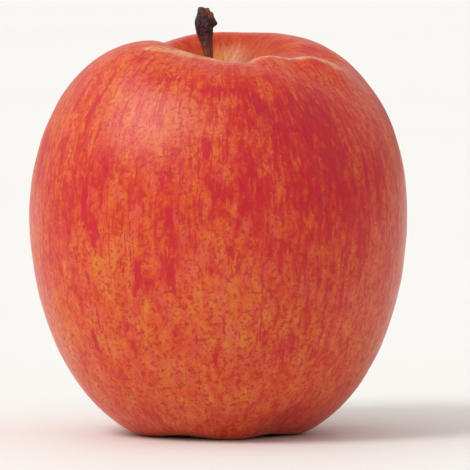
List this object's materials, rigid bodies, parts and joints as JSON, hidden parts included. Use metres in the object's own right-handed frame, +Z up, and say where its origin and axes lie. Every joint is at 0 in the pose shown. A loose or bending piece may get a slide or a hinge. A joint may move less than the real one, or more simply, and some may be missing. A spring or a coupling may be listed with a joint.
{
  "type": "whole apple",
  "caption": "Tall dessert apple that stands on the lobes of its base, with a knobby dry stalk in the hollow on top and dried flower parts in the eye underneath.",
  "frame": {"origin": "on the table, under the middle of the fruit", "axes": "+Z up along the fruit from its eye to its stalk, -Y the side shown in front, +X to the right of it"},
  "size_m": [0.0837, 0.0837, 0.0954],
  "materials": {
    "apple_skin": "waxy skin, orange ground with red and crimson streaks",
    "stalk_bark": "dry dark bark, matt",
    "dried_sepal": "dry and downy, matt",
    "dried_filament": "dry, matt"
  },
  "bodies": {
    "root": {"apple_fruit": "apple_skin", "stalk": "stalk_bark", "sepal_1": "dried_sepal", "sepal_2": "dried_sepal", "sepal_3": "dried_sepal", "sepal_4": "dried_sepal", "sepal_5": "dried_sepal", "stamens": "dried_filament", "styles": "dried_filament"}
  },
  "joints": []
}
